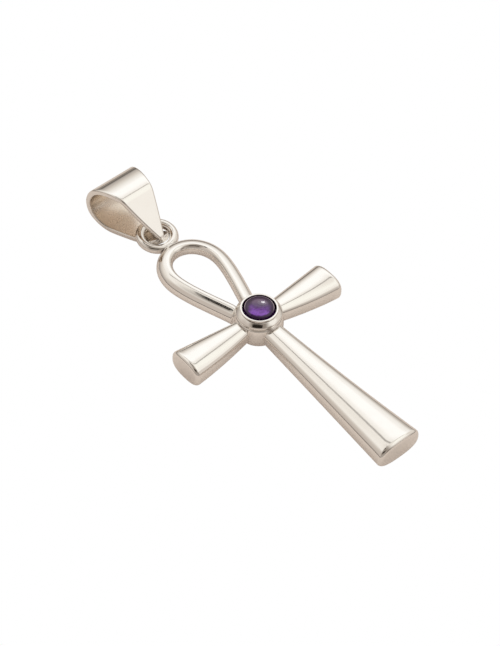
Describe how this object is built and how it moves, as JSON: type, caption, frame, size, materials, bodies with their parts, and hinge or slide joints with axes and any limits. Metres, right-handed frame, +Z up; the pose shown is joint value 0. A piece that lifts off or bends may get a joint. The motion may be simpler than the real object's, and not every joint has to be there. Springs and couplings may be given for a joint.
{
  "type": "ankh pendant",
  "caption": "Ankh pendant of polished silver with a domed violet stone in a bezel at the hub, and a loose folded bail on a soldered ring.",
  "frame": {"origin": "middle of the hub's flat back, on the surface that the pendant lies on", "axes": "+X along the arms, +Y from the stem to the bail, +Z up out of the front, through the stone"},
  "size_m": [0.0228, 0.0531, 0.0068],
  "materials": {
    "silver": "polished sterling silver",
    "stone": "polished violet cabochon",
    "silver_bail": "polished sterling silver sheet"
  },
  "bodies": {
    "root": {"ankh": "silver", "stone": "stone", "bail": "silver_bail"}
  },
  "joints": []
}
